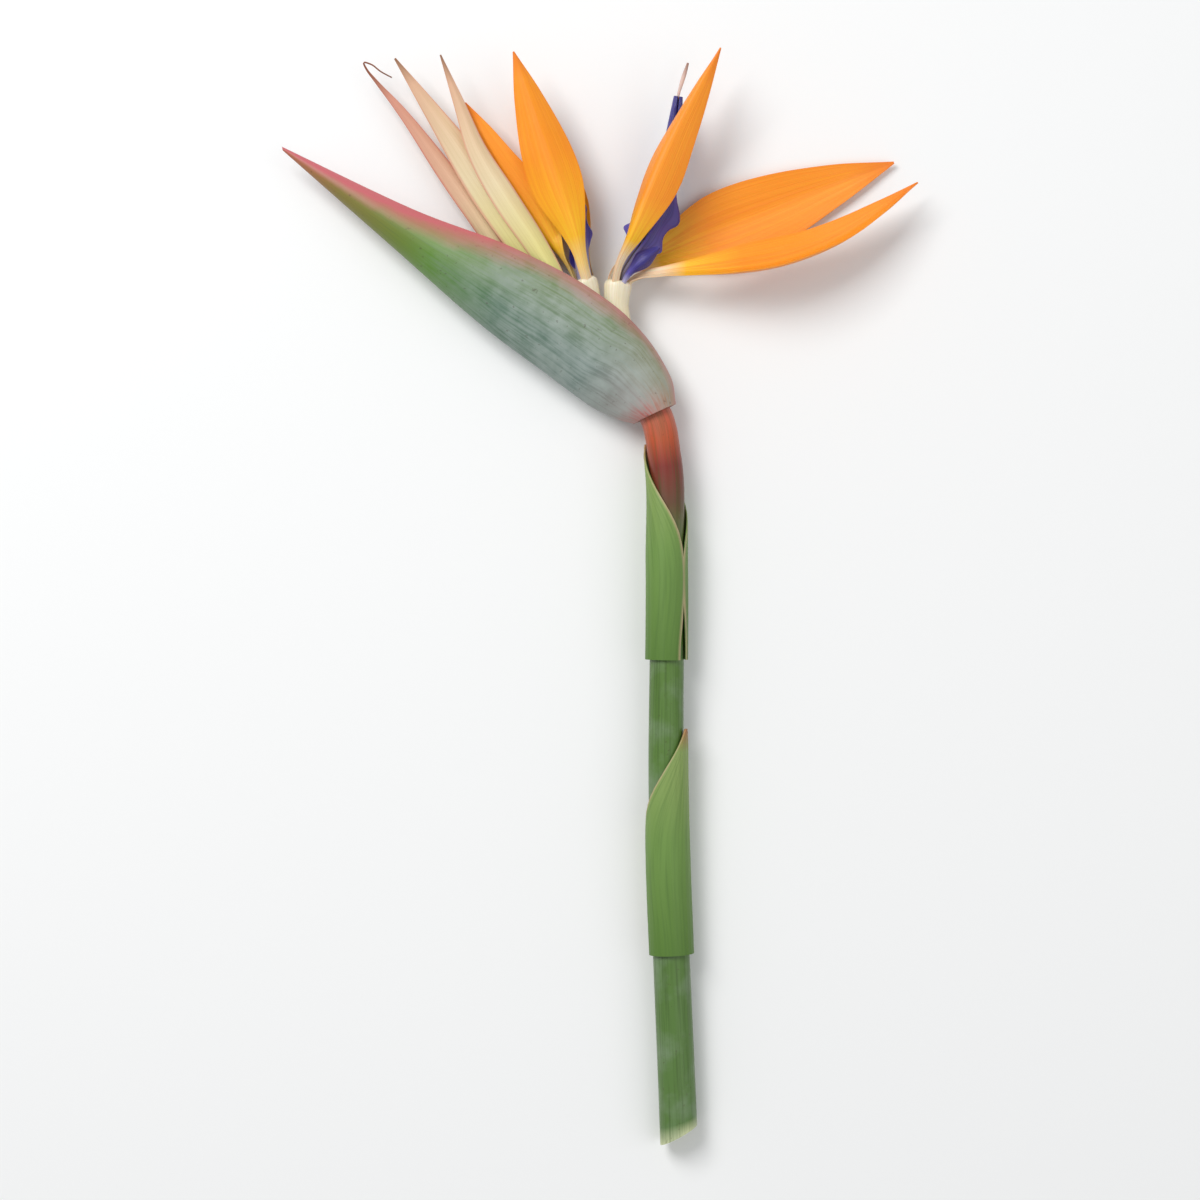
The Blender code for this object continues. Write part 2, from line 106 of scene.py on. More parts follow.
# Each floret: ovary rows, axis, arrow line, style tip, the way the groove faces, wing width, and the angle,
# spine, facing, half width and fold of each sepal and of the nectary petal
FLORETS = {
    "floret_1": {
        "ovary": [(2.9, -17.3, 0.0, 2.0, 2.0), (1.2, -13.0, 0.0, 2.6, 2.6), (-1.2, -4.0, 0.0, 3.8, 3.6),
                  (-2.7, 3.5, 0.0, 4.3, 3.9), (-2.5, 9.2, 0.0, 4.9, 4.6)],
        "axis": (0.12, 0.993, 0.0),
        "arrow": [(-2.4, 10.3, 0.0), (-1.6, 14.5, -0.5), (2.0, 21.0, -1.2), (7.2, 28.5, -1.8),
                  (12.0, 37.0, -2.0), (15.0, 50.0, -1.8), (17.6, 64.0, -1.0), (19.6, 79.0, 0.0)],
        "style_tip": (23.2, 91.0, 1.0),
        "groove": (0.3, -0.1, 0.95),
        "wing": 8.2,
        "sepals": {
            "upright": (115, [(-2.8, 16.5, 6.8), (2.5, 28.0, 12.6), (7.7, 41.0, 14.0), (14.5, 57.3, 14.0),
                              (24.2, 76.0, 13.8), (34.6, 94.6, 12.5)], (0.4, -0.2, -0.9), 10.0, 45),
            "rear": (245, [(-3.4, 13.4, -4.2), (-1.6, 16.5, -5.6), (5.0, 19.8, -7.6), (13.6, 22.6, -9.2),
                           (30.0, 29.5, -10.8), (51.0, 37.5, -11.25), (74.0, 47.0, -11.1),
                           (98.7, 56.3, -9.5)], (-0.1, 0.0, 1.0), 14.0, 14),
            "lower": (-5, [(2.6, 11.4, 0.2), (7.0, 13.4, 1.2), (14.5, 14.4, 2.8), (26.9, 14.9, 4.4),
                           (38.4, 15.4, 5.0), (56.8, 18.2, 4.6), (75.8, 25.4, 3.4), (94.8, 38.2, 1.8),
                           (106.4, 47.7, 1.0)], (-0.3, 0.75, 0.6), 11.0, 28),
        },
        "nectary": (55, [(1.6, 13.6, 4.6), (7.0, 18.5, 6.2), (12.8, 23.6, 5.6)], (-0.3, 0.2, -0.9), 4.2, 35),
    },
    "floret_2": {
        "ovary": [(-7.0, -11.8, 0.0, 1.8, 1.8), (-8.2, -8.0, 0.0, 2.4, 2.6), (-9.9, -1.0, 0.0, 3.2, 3.6),
                  (-11.7, 5.0, 0.0, 3.4, 3.9), (-13.4, 10.2, 0.0, 4.1, 4.6)],
        "axis": (-0.32, 0.947, 0.0),
        "arrow": [(-13.7, 11.3, 0.0), (-14.6, 16.0, -0.4), (-16.0, 27.0, -1.2), (-18.4, 37.0, -1.4),
                  (-23.5, 50.0, -1.0), (-27.4, 62.0, -0.4), (-30.5, 72.0, 0.0)],
        "style_tip": (-33.0, 81.0, 0.2),
        "groove": (-0.17, 0.0, -0.98),
        "wing": 5.0,
        "sepals": {
            "upright": (80, [(-14.6, 17.0, 5.4), (-18.0, 29.0, 7.4), (-22.5, 42.0, 8.8), (-28.0, 58.0, 9.6),
                             (-34.0, 76.0, 9.6), (-39.8, 93.8, 9.0)], (0.0, 0.0, -1.0), 10.2, 24),
            "left": (200, [(-19.5, 15.5, -2.2), (-30.5, 31.5, -2.2), (-43.3, 51.0, -1.0),
                           (-57.5, 76.8, 0.0)], (0.5, 0.35, -0.8), 9.0, 28),
            "rear": (320, [(-12.6, 17.0, -5.0), (-16.5, 29.0, -7.8), (-22.0, 43.0, -9.4),
                           (-28.0, 59.0, -9.6), (-36.0, 81.0, -8.6)], (0.1, 0.0, 1.0), 8.4, 16),
        },
        "nectary": (260, [(-14.6, 14.4, -4.6), (-17.0, 20.0, -5.4), (-19.0, 25.6, -5.0)],
                    (0.1, 0.1, 1.0), 3.4, 30),
    },
}
BRACTS = {
    "bract_outer": ([(-31.4, 1.3, -0.8), (-36.0, 9.5, -1.2), (-43.5, 20.0, -1.5), (-55.0, 38.0, -1.6),
                     (-66.5, 54.5, -1.8), (-82.0, 75.5, -1.8), (-90.5, 85.5, -2.0), (-93.4, 89.2, -1.8),
                     (-94.4, 91.4, -1.2), (-91.6, 90.6, 0.4), (-88.0, 87.8, 1.6), (-84.0, 85.6, 1.8)],
                    (0.0, 0.0, -1.0), 3.8, 20),
    "bract_middle": ([(-20.8, -3.9, 0.0), (-26.5, 7.5, 0.6), (-34.0, 20.5, 1.0), (-46.0, 39.0, 1.2),
                      (-60.0, 60.0, 1.4), (-71.5, 76.5, 1.4), (-82.9, 92.6, 1.2)], (0.0, 0.0, -1.0), 6.4, 18),
    "bract_inner": ([(-15.2, -7.6, 1.4), (-19.0, 1.0, 2.6), (-24.5, 13.0, 3.6), (-32.0, 25.5, 4.6),
                     (-43.0, 42.0, 5.4), (-53.0, 59.0, 5.4), (-59.5, 76.0, 4.6), (-66.3, 93.5, 3.6)],
                    (-0.1, 0.0, -1.0), 5.2, 25),
}
BUDS = {
    "bud_upper": [(-36.5, 0.05, 0.0, 1.2), (-46.0, 9.0, 0.0, 2.8), (-60.0, 19.8, 0.0, 3.5),
                  (-78.0, 32.0, 0.0, 2.5), (-98.0, 44.8, 0.0, 0.5)],
    "bud_lower": [(-33.4, -6.8, 0.0, 1.0), (-42.0, -4.0, 0.0, 2.2), (-56.0, 6.2, 0.0, 2.7),
                  (-72.0, 19.4, 0.0, 2.1), (-86.0, 30.8, 0.0, 0.5)],
}


# The stage, in metres and watts: each lamp's name, place, size and energy
FLOOR_REACH = 3.0
CAMERA_HEIGHT = 1.22
LAMPS = (("key", (-0.7, 0.8, 1.3), 0.8, 19.0), ("fill", (0.9, -0.2, 1.2), 1.2, 4.5))
# Stations and shares of an arrow's wing: a rounded hook, a notch, then a pointed barb that runs out forwards
BARBS = ([0, 0.18, 0.25, 0.3, 0.345, 0.39, 0.44, 0.52, 0.68, 0.86, 1],
         [0, 0.0, 0.55, 1.0, 0.6, 0.62, 1.0, 0.42, 0.16, 0.04, 0])
# Stations and shares of the arrow's channel, and of the style's radius up to its stigma
CHANNEL = ([0, 0.85, 1], [1.0, 1.0, 0.5])
STIGMA = ([0, 0.86, 0.95, 1], [1.0, 1.0, 1.5, 0.8])
# Points of the wing's section: shares of the tube's radius and of the reach to the side, and of the radius up
WING_SECTION = (
    (0.55, 0.45, 0.24), (0.2, 0.8, 0.26), (0.0, 1.0, 0.36), (0.2, 0.8, 0.5),
    (0.5, 0.5, 0.62), (0.75, 0.1, 0.84), (0.45, 0.0, 0.98),
)
# How the top of an ovary closes round the feet of the petals: rise over the top, share of its radii
COLLAR = ((1.2, 1.02), (2.2, 0.97), (3.0, 0.8))
# Stations and shares of the half width along a sepal and along the nectary petal
SEPAL_OUTLINE = ((0, 0.2), (0.12, 0.26), (0.42, 1.0), (0.8, 0.56), (1, 0.03))
NECTARY_OUTLINE = ((0, 0.28), (0.3, 0.4), (0.62, 1.0), (1, 0.25))
# The same along a bract; the outer one runs out into a dry strand that curls
BRACT_OUTLINE = ((0, 0.3), (0.3, 0.85), (0.5, 1.0), (0.8, 0.5), (1, 0.06))
CURLED_OUTLINE = ((0, 0.3), (0.26, 0.85), (0.43, 1.0), (0.7, 0.5), (0.86, 0.12), (1, 0.06))


def linear(hex_colour):
    """An sRGB hex colour as linear red, green and blue."""
    parts = [int(hex_colour[i:i + 2], 16) / 255 for i in (1, 3, 5)]
    return tuple(c / 12.92 if c <= 0.04045 else ((c + 0.055) / 1.055) ** 2.4 for c in parts)


def colour_property(name, description, hex_colour):
    """A colour that a user can change."""
    return bpy.props.FloatVectorProperty(
        name=name, description=description, default=linear(hex_colour), subtype="COLOR", size=3, min=0, max=1
    )


def length_property(name, description, millimetres):
    """A length that a user can change, kept in metres."""
    return bpy.props.FloatProperty(
        name=name, description=description, default=millimetres * MM, unit="LENGTH", precision=4
    )


class FlowerColours(bpy.types.PropertyGroup):
    """The colours of the living tissue."""

    orange: colour_property("Orange", "Middle of a sepal", "#fa9a0c")
    orange_deep: colour_property("Deep orange", "Tip and veins of a sepal", "#f07e04")
    yellow: colour_property("Yellow", "Foot of a sepal's blade", "#f8c41c")
    cream: colour_property("Cream", "Claws and ovary", "#efe3c0")
    violet: colour_property("Violet blue", "Arrow and nectary petal", "#463a94")
    violet_dark: colour_property("Dark violet", "Lines along the blue petals", "#231e58")
    lavender: colour_property("Lavender", "Pale foot of the blue petals", "#c3bcd8")
    style_pink: colour_property("Style pink", "Style and stigma", "#e8cfc4")
    spathe_green: colour_property("Spathe green", "Outer half of the spathe", "#5c8433")
    spathe_grey: colour_property("Spathe grey", "Belly of the spathe", "#6a7c74")
    bloom: colour_property("Wax bloom", "Powdery wax on spathe and stem", "#b4bdb8")
    rim_pink: colour_property("Rim pink", "Margins of the spathe", "#c9656f")
    neck_red: colour_property("Neck red", "Neck under the spathe", "#b8502c")
    neck_dark: colour_property("Dark neck red", "Foot of the neck", "#7c2a20")
    stem_green: colour_property("Stem green", "Stem", "#55782f")
    sheath_green: colour_property("Sheath green", "Leaf bases on the stem", "#6d8f45")
    bract_cream: colour_property("Bract cream", "Bracts in the mouth", "#e8d6ae")
    bract_pink: colour_property("Bract pink", "Edges and tips of the bracts", "#d99a80")


class FlowerSizes(bpy.types.PropertyGroup):
    """The sizes of the tissue."""

    sepal_thick: length_property("Sepal", "Thickness at a sepal's keel", 1.3)
    bract_thick: length_property("Bract", "Thickness of a bract", 0.9)
    spathe_wall: length_property("Spathe wall", "Wall of the spathe", 1.7)
    arrow_channel: length_property("Channel", "Radius of the arrow's channel", 1.9)
    arrow_wall: length_property("Arrow wall", "Wall round the channel", 0.6)
    style_radius: length_property("Style", "Radius of the style", 0.5)
    ring_radius: length_property("Ring", "Radius of the circle that the petals stand on", 3.9)
    root_lift: length_property("Lift", "Height of the petals' feet over the ovary", 1.0)
    sheath_lift: length_property("Sheath lift", "Gap between stem and sheath", 0.9)
    sheath_wall: length_property("Sheath wall", "Wall of a sheath", 0.8)


# Curves and surfaces


def unit(vectors):
    """The vectors divided by their lengths."""
    return vectors / np.linalg.norm(vectors, axis=-1, keepdims=True)


def read_off(stations, values, t):
    """The values at t on a piecewise cubic through the values at the stations, whose slope at each station
    is that of its neighbours."""
    stations = np.array(stations, float)
    values = np.array(values, float)
    flat = values.reshape(len(stations), -1)
    slope = np.gradient(flat, stations, axis=0)
    k = np.clip(np.searchsorted(stations, t, side="right") - 1, 0, len(stations) - 2)
    step = (stations[k + 1] - stations[k])[:, None]
    u = (t - stations[k])[:, None] / step
    curve = (
        (2 * u**3 - 3 * u**2 + 1) * flat[k]
        + (u**3 - 2 * u**2 + u) * step * slope[k]
        + (3 * u**2 - 2 * u**3) * flat[k + 1]
        + (u**3 - u**2) * step * slope[k + 1]
    )
    return curve.reshape((len(t), *values.shape[1:]))


def even_curve(rows, count):
    """count rows at even distances on the cubic through the given rows; numbers past the third ride along."""
    rows = np.array(rows, float)
    stations = np.concatenate([[0], np.cumsum(np.linalg.norm(np.diff(rows[:, :3], axis=0), axis=1))])
    curve = read_off(stations, rows, np.linspace(0, stations[-1], 20 * count))
    run = np.concatenate([[0], np.cumsum(np.linalg.norm(np.diff(curve[:, :3], axis=0), axis=1))])
    even = np.linspace(0, run[-1], count)
    return np.stack([np.interp(even, run, column) for column in curve.T], axis=1)


def frames(line, facing):
    """At each point of a line: the facing squared up to the tangent, the side (tangent times face) and the
    tangent."""
    tangent = unit(np.gradient(line, axis=0))
    facing = np.broadcast_to(np.array(facing, float), line.shape)
    face = unit(facing - (facing * tangent).sum(1, keepdims=True) * tangent)
    return face, np.cross(tangent, face), tangent


def signed_volume(points, faces):
    """Six times the volume that the faces enclose: the sum of a . (b x c) over the triangles that fan out
    from each face's first corner. It is negative when they face inwards."""
    total = 0.0
    for corner in range(1, faces.shape[1] - 1):
        a, b, c = (points[faces[:, i]] for i in (0, corner, corner + 1))
        total += float((a * np.cross(b, c)).sum())
    return total


def add_piece(name, points, groups, uv, material, slot):
    """A smooth closed mesh at the origin from points in the flower's millimetres, groups of faces with the
    same number of corners, and a UV for each point. Faces that enclose a negative volume are turned round."""
    if sum(signed_volume(points, faces) for faces in groups) < 0:
        groups = [faces[:, ::-1] for faces in groups]
    mesh = bpy.data.meshes.new(name)
    every_face = [face for faces in groups for face in faces.tolist()]
    mesh.from_pydata(((points + HEEL) * MM).tolist(), [], every_face)
    corners = np.concatenate([faces.reshape(-1) for faces in groups])
    layer = mesh.uv_layers.new(name="UVMap")
    layer.data.foreach_set("uv", uv[corners].astype(np.float32).reshape(-1))
    mesh.materials.append(material)
    if mesh.validate():
        raise RuntimeError(name + " has faces that Blender had to mend")
    mesh.shade_smooth()
    mesh.set_sharp_from_angle(angle=math.radians(60))
    piece = bpy.data.objects.new(name + "_skin", mesh)
    bpy.context.scene.collection.objects.link(piece)
    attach(piece, "root")
    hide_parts(name)
    return piece


def grid_faces(rows, columns, closed=False):
    """Quads of a grid of points, row by row; a closed grid joins its last column to its first."""
    i, j = np.meshgrid(np.arange(rows - 1), np.arange(columns if closed else columns - 1), indexing="ij")
    after = (j + 1) % columns
    here = i * columns
    below = here + columns
    return np.stack([here + j, here + after, below + after, below + j], axis=-1).reshape(-1, 4)


def shell(outer, inner):
    """Points, faces and UVs of a solid between two grids. U runs across and V along; the inner skin's U is
    raised by 1, so that a material can tell the two skins apart."""
    rows, columns = outer.shape[:2]
    count = rows * columns
    quads = grid_faces(rows, columns)
    down = np.arange(rows - 1) * columns
    right = down + columns - 1
    top = np.arange(columns - 1)
    end = top + (rows - 1) * columns
    edges = [
        np.stack([down, down + columns, down + columns + count, down + count], axis=1),
        np.stack([right + count, right + columns + count, right + columns, right], axis=1),
        np.stack([top + count, top + 1 + count, top + 1, top], axis=1),
        np.stack([end, end + 1, end + 1 + count, end + count], axis=1),
    ]
    faces = np.concatenate([quads, quads[:, ::-1] + count, *edges])
    points = np.concatenate([outer.reshape(-1, 3), inner.reshape(-1, 3)])
    v, u = np.meshgrid(np.linspace(0, 1, rows), np.linspace(0, 1, columns), indexing="ij")
    uv = np.stack([u.reshape(-1), v.reshape(-1)], axis=1)
    return points, [faces], np.concatenate([uv, uv + (1.0, 0.0)])


def tube(rings, cap_rings=4):
    """Points, faces and UVs of a solid through closed rings. Each end is closed by rings that shrink to its
    middle; V runs 0 to 1 along the tube and goes past 1 on the far cap."""
    shrink = np.linspace(1, 0.02, cap_rings + 1)[1:, None, None]
    start, end = rings[0], rings[-1]
    near = start.mean(0) + (start - start.mean(0)) * shrink[::-1]
    far = end.mean(0) + (end - end.mean(0)) * shrink
    every = np.concatenate([near, rings, far])
    rows, sides = every.shape[:2]
    faces = grid_faces(rows, sides, closed=True)
    tips = np.stack([np.arange(sides)[::-1], (rows - 1) * sides + np.arange(sides)])
    past = 1 + 0.1 * np.arange(1, cap_rings + 1)
    v = np.concatenate([np.zeros(cap_rings), np.linspace(0, 1, len(rings)), past])
    turn = np.abs(np.linspace(-1, 1, sides, endpoint=False))
    uv = np.stack(np.broadcast_arrays(turn[None], v[:, None]), axis=-1)
    return every.reshape(-1, 3), faces, tips, uv.reshape(-1, 2)


def add_tube(name, rings, material, slot):
    """A closed tube as a piece; its two small end polygons are added as triangle fans."""
    points, faces, tips, uv = tube(rings)
    middles = np.stack([points[tip].mean(0) for tip in tips])
    fans = [
        np.stack([tip, np.roll(tip, -1), np.full(len(tip), len(points) + end)], axis=1)
        for end, tip in enumerate(tips)
    ]
    every_uv = np.concatenate([uv, np.array([[0.5, 0.0], [0.5, 1.4]])])
    groups = [faces, np.concatenate(fans)]
    return add_piece(name, np.concatenate([points, middles]), groups, every_uv, material, slot)


def round_rings(line, across, along, sides, facing=(0, 0, 1), lobes=0, lobe_depth=0.0):
    """Rings round a line with one radius to the side and one the way it faces, swelled by a cosine."""
    face, side, _ = frames(line, facing)
    turn = np.linspace(0, 2 * math.pi, sides, endpoint=False)
    swell = 1 + lobe_depth * np.cos(lobes * turn)
    reach_side = (across[:, None] * np.cos(turn) * swell)[..., None]
    reach_face = (along[:, None] * np.sin(turn) * swell)[..., None]
    return line[:, None] + reach_side * side[:, None] + reach_face * face[:, None]


def blade_skins(spine, facing, half_width, fold, thick, first_facing, outline, seed, rows=130, columns=41,
                ripple=0.35, ribs=9):
    """The two skins of a keeled blade. Across it the height is a softened V, root(a^2 + r^2) - r; along it
    the half width follows the outline. The margins ripple by a sum of two sines, and fine ribs, a cosine of
    a, run along it."""
    t = np.linspace(0, 1, rows)
    line = even_curve(spine, rows)
    # The foot faces as the circle of petals has it, and the blade takes its own facing in the first quarter
    turned = np.clip(t / 0.25, 0, 1)[:, None] ** 2
    blended = np.array(first_facing, float) * (1 - turned) + np.array(facing, float) * turned
    face, side, _ = frames(line, blended)
    stations, shares = zip(*outline)
    half = half_width * read_off(stations, shares, t)
    a = np.linspace(-1, 1, columns)
    keel = 0.2
    rise = (np.sqrt(a**2 + keel**2) - keel) / (math.sqrt(1 + keel**2) - keel)
    lateral = math.cos(math.radians(fold)) * a
    height = math.sin(math.radians(fold)) * rise
    slope = np.stack([-np.gradient(height), np.gradient(lateral)])
    normal = slope / np.linalg.norm(slope, axis=0)
    skin = 0.5 * thick * (1 - 0.75 * a**2)[None] * np.clip(half / 4, 0.45, 1)[:, None]
    rng = np.random.default_rng(seed)
    phase = rng.uniform(0, 2 * math.pi, 2)
    swell = np.sin(math.pi * t)[:, None]
    wave = np.sin(9 * t[:, None] + phase[0] + 1.5 * a) + 0.5 * np.sin(23 * t[:, None] + phase[1] - 2 * a)
    ripples = ripple * swell * wave * (a**2)[None]
    rib = 0.05 * swell * np.cos(ribs * math.pi * a)[None] * (1 - a**2)[None]

    def skin_at(sign):
        out_side = half[:, None] * lateral + sign * skin * normal[0]
        out_face = half[:, None] * height + sign * skin * normal[1] + ripples + rib
        return line[:, None] + out_side[..., None] * side[:, None] + out_face[..., None] * face[:, None]

    return skin_at(-1), skin_at(1)


# Materials


def add_node(tree, kind, inputs=None, out=0, stops=(), **settings):
    """Adds one node with its settings, sets or links its inputs, and gives back one of its outputs. A colour
    ramp also takes its stops, each a position and a linear colour."""
    node = tree.nodes.new(kind)
    for key, value in settings.items():
        setattr(node, key, value)
    for key, value in (inputs or {}).items():
        socket = node.inputs[key]
        if isinstance(value, bpy.types.NodeSocket):
            tree.links.new(value, socket)
        else:
            socket.default_value = (*value, 1) if socket.type == "RGBA" else value
    if stops:
        elements = node.color_ramp.elements
        while len(elements) < len(stops):
            elements.new(0.5)
        for element, (position, colour) in zip(elements, stops):
            element.position = position
            element.color = (*colour, 1)
    return node.outputs[out]


def new_material(name, roughness, specular=0.5):
    """A material with its node tree and its shader."""
    made = bpy.data.materials.new(name)
    made.use_nodes = True
    shader = made.node_tree.nodes["Principled BSDF"]
    shader.inputs["Roughness"].default_value = roughness
    shader.inputs["Specular IOR Level"].default_value = specular
    return made, made.node_tree, shader


def finish(tree, shader, colour, relief, depth_mm, strength):
    """Puts the colour on the shader, and a pattern that stands up as fine relief."""
    tree.links.new(colour, shader.inputs["Base Color"])
    distance = depth_mm * MM
    normal = add_node(tree, "ShaderNodeBump", {"Strength": strength, "Distance": distance, "Height": relief})
    tree.links.new(normal, shader.inputs["Normal"])


def lay_over(tree, under, over, pattern, start, full, strength=1.0):
    """One colour over another: none where the pattern is at start, and that strength where it is at full."""
    span = {"Value": pattern, "From Min": start, "From Max": full, "To Max": strength}
    share = add_node(tree, "ShaderNodeMapRange", span)
    return add_node(tree, "ShaderNodeMix", {0: share, 6: under, 7: over}, out=2, data_type="RGBA")


def across_and_along(tree):
    """The UV map, and two shares from 0 to 1: how far a point is from the middle line towards a margin, and how
    far along it is. An inner skin's U is 1 higher, so the whole number is dropped."""
    uv = add_node(tree, "ShaderNodeUVMap", uv_map="UVMap")
    across = add_node(tree, "ShaderNodeSeparateXYZ", {"Vector": uv}, out="X")
    along = add_node(tree, "ShaderNodeSeparateXYZ", {"Vector": uv}, out="Y")
    shrunk = add_node(tree, "ShaderNodeMath", {0: across, 1: 0.9999}, operation="MULTIPLY")
    part = add_node(tree, "ShaderNodeMath", {0: shrunk}, operation="FRACT")
    centred = add_node(tree, "ShaderNodeMath", {0: part, 1: 2.0, 2: -1.0}, operation="MULTIPLY_ADD")
    from_middle = add_node(tree, "ShaderNodeMath", {0: centred}, operation="ABSOLUTE")
    return uv, from_middle, along


def streaks(tree, uv, across_count, along_count, detail=3.0):
    """Fibres: noise drawn out along the piece, with that many changes across it and along it."""
    drawn = add_node(tree, "ShaderNodeMapping", {"Scale": (across_count, along_count, 1.0), "Vector": uv})
    return add_node(
        tree, "ShaderNodeTexNoise", {"Scale": 1.0, "Detail": detail, "Roughness": 0.55, "Vector": drawn}
    )


def mottle(tree, size_mm, detail=3.0):
    """Patches of that size, in the object's own space."""
    place = add_node(tree, "ShaderNodeTexCoord", out="Object")
    scale = 1 / (size_mm * MM)
    return add_node(tree, "ShaderNodeTexNoise", {"Scale": scale, "Detail": detail, "Vector": place})


def shared(name, make):
    """The material of that name, made once."""
    return bpy.data.materials.get(name) or make(name)


def petal_tissue(name, stops, vein, vein_share, edge, roughness=0.42):
    """Petal: smooth living tissue with a satin skin that lets a little light through. Fine veins, under a
    millimetre apart, run from foot to tip and stand up slightly. The keel and margins are a little deeper."""
    made, tree, shader = new_material(name, roughness)
    uv, from_middle, along = across_and_along(tree)
    colour = add_node(tree, "ShaderNodeValToRGB", {"Fac": along}, stops=stops)
    veins = streaks(tree, uv, 44.0, 1.6)
    fine = add_node(tree, "ShaderNodeMapRange", {"Value": veins, "From Min": 0.44, "From Max": 0.66})
    colour = lay_over(tree, colour, vein, fine, 0.0, 1.0, vein_share)
    colour = lay_over(tree, colour, vein, streaks(tree, uv, 9.0, 1.1, 2.0), 0.4, 0.7, 0.7 * vein_share)
    colour = lay_over(tree, colour, edge, from_middle, 0.86, 1.0, 0.35)
    colour = lay_over(tree, colour, vein, from_middle, 0.07, 0.0, 0.3)
    shader.inputs["Subsurface Weight"].default_value = 0.12
    shader.inputs["Subsurface Radius"].default_value = (0.9, 0.4, 0.1)
    shader.inputs["Subsurface Scale"].default_value = 1.5 * MM
    finish(tree, shader, colour, fine, 0.12, 0.45)
    return made


def spathe_skin(name, colours):
    """Spathe: thick leathery bract. The belly is grey-green under a powdery wax bloom, which also dulls it.
    It is greener towards the beak, pink along the margins and at the tip, and has fine streaks and specks."""
    made, tree, shader = new_material(name, 0.5, 0.35)
    uv, from_middle, along = across_and_along(tree)
    stops = [
        (0.0, linear("#b0544a")),
        (0.05, linear("#b0766f")),
        (0.12, linear("#968f8a")),
        (0.26, colours.spathe_grey),
        (0.5, linear("#587560")),
        (0.68, colours.spathe_green),
        (0.88, linear("#84763c")),
        (1.0, linear("#b5654f")),
    ]
    colour = add_node(tree, "ShaderNodeValToRGB", {"Fac": along}, stops=stops)
    patches = mottle(tree, 6.0, 6.0)
    fine = streaks(tree, uv, 80.0, 7.0, 5.0)
    colour = lay_over(tree, colour, linear("#8d9a5a"), from_middle, 0.45, 0.9, 0.55)
    half_patches = add_node(tree, "ShaderNodeMath", {0: patches, 1: 0.5}, operation="MULTIPLY")
    cloud = add_node(tree, "ShaderNodeMath", {0: fine, 1: 0.8, 2: half_patches}, operation="MULTIPLY_ADD")
    powder = add_node(tree, "ShaderNodeMapRange", {"Value": cloud, "From Min": 0.5, "From Max": 0.95})
    belly = add_node(tree, "ShaderNodeMapRange", {"Value": along, "From Min": 0.74, "From Max": 0.42})
    wax = add_node(tree, "ShaderNodeMath", {0: powder, 1: belly}, operation="MULTIPLY")
    colour = lay_over(tree, colour, colours.bloom, wax, 0.0, 1.0, 0.85)
    colour = lay_over(tree, colour, linear("#3f5a40"), fine, 0.52, 0.7, 0.25)
    colour = lay_over(tree, colour, linear("#4a3a34"), mottle(tree, 1.6, 2.0), 0.67, 0.72, 0.4)
    beak = add_node(
        tree, "ShaderNodeMapRange", {"Value": along, "From Min": 0.45, "From Max": 0.95, "To Max": 0.4}
    )
    uneven = add_node(tree, "ShaderNodeMath", {0: patches, 1: 0.12, 2: from_middle}, operation="MULTIPLY_ADD")
    near_rim = add_node(tree, "ShaderNodeMath", {0: uneven, 1: beak}, operation="ADD")
    colour = lay_over(tree, colour, colours.rim_pink, near_rim, 0.86, 1.16, 0.92)
    dull = add_node(tree, "ShaderNodeMath", {0: wax, 1: 0.25, 2: 0.4}, operation="MULTIPLY_ADD")
    tree.links.new(dull, shader.inputs["Roughness"])
    relief = add_node(tree, "ShaderNodeMath", {0: fine, 1: 0.6, 2: patches}, operation="MULTIPLY_ADD")
    finish(tree, shader, colour, relief, 0.25, 0.35)
    return made


def stem_skin(name, colours):
    """Stem: firm ribbed stalk with a low gloss. The neck is orange-red and darkens downwards, the rest is
    green with a thin grey bloom and a few specks, and the cut shows pale moist pith."""
    made, tree, shader = new_material(name, 0.42, 0.4)
    uv, _, along = across_and_along(tree)
    stops = [
        (0.0, colours.cream),
        (0.16, linear("#c98078")),
        (0.19, linear("#c4634a")),
        (0.215, colours.neck_red),
        (0.245, colours.neck_dark),
        (0.285, linear("#64402a")),
        (0.34, colours.stem_green),
        (0.985, linear("#56773a")),
        (1.0, linear("#cdd3a4")),
    ]
    colour = add_node(tree, "ShaderNodeValToRGB", {"Fac": along}, stops=stops)
    fine = streaks(tree, uv, 22.0, 9.0)
    powder = add_node(
        tree, "ShaderNodeMapRange", {"Value": mottle(tree, 12.0, 4.0), "From Min": 0.45, "From Max": 0.7}
    )
    below = add_node(tree, "ShaderNodeMapRange", {"Value": along, "From Min": 0.27, "From Max": 0.36})
    wax = add_node(tree, "ShaderNodeMath", {0: powder, 1: below}, operation="MULTIPLY")
    colour = lay_over(tree, colour, linear("#84967c"), wax, 0.0, 1.0, 0.5)
    colour = lay_over(tree, colour, linear("#38501f"), fine, 0.46, 0.66, 0.45)
    colour = lay_over(tree, colour, linear("#4a3a2a"), mottle(tree, 1.4, 2.0), 0.68, 0.73, 0.35)
    finish(tree, shader, colour, fine, 0.2, 0.4)
    return made


def leafy_skin(name, stops, edge, edge_from, dark, roughness=0.5):
    """Sheath or bract: thin fibrous tissue, nearly matt, with parallel fibres that show as fine darker lines
    and a dry margin of another colour."""
    made, tree, shader = new_material(name, roughness, 0.35)
    uv, from_middle, along = across_and_along(tree)
    colour = add_node(tree, "ShaderNodeValToRGB", {"Fac": along}, stops=stops)
    fine = streaks(tree, uv, 38.0, 2.2)
    colour = lay_over(tree, colour, dark, fine, 0.46, 0.68, 0.38)
    colour = lay_over(tree, colour, edge, from_middle, edge_from, 1.0)
    finish(tree, shader, colour, fine, 0.2, 0.5)
    return made


